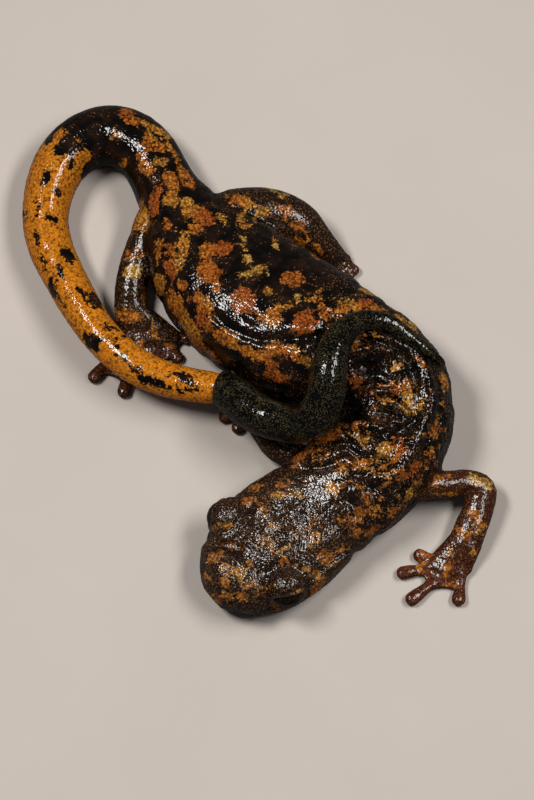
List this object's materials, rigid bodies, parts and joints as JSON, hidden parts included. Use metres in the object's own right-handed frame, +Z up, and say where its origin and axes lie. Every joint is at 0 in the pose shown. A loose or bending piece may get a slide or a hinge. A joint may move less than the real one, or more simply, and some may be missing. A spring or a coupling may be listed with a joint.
{
  "type": "strinatis cave salamander",
  "caption": "Life-size cave salamander lying curled up, its orange tail brought round and its dark tail end laid over the back.",
  "frame": {"origin": "centre of the footprint's box, on the floor that the animal lies on", "axes": "+X to the right of the picture, +Y away from the camera, +Z up"},
  "size_m": [0.0426, 0.049, 0.0126],
  "materials": {
    "head_skin": "wet brown-black skin, finely speckled ochre",
    "trunk_skin": "wet black skin with orange and ochre blotches",
    "tail_skin": "wet orange skin with black blotches",
    "tail_end_skin": "wet black skin finely specked gold",
    "limb_skin": "wet red-brown skin with orange patches",
    "eye": "glossy dark eye with a speckled iris"
  },
  "bodies": {
    "root": {"head": "head_skin", "eye_left": "eye", "eye_right": "eye", "neck": "trunk_skin", "torso_front": "trunk_skin", "torso_bend": "trunk_skin", "torso_rear": "trunk_skin", "torso_loin": "trunk_skin", "hips": "trunk_skin", "tail_root": "tail_skin", "tail_turn": "tail_skin", "tail_side": "tail_skin", "tail_middle": "tail_skin", "tail_across": "tail_skin", "tail_shoulder": "tail_end_skin", "tail_curl": "tail_end_skin", "tail_over": "tail_end_skin", "tail_back": "tail_end_skin", "tail_tip": "tail_end_skin", "arm_left_upper": "limb_skin", "arm_left_lower": "limb_skin", "hand_left": "limb_skin", "arm_right_upper": "limb_skin", "arm_right_lower": "limb_skin", "hand_right": "limb_skin", "leg_left_upper": "limb_skin", "leg_left_lower": "limb_skin", "foot_left": "limb_skin", "leg_right_upper": "limb_skin", "leg_right_lower": "limb_skin", "foot_right": "limb_skin"}
  },
  "joints": []
}
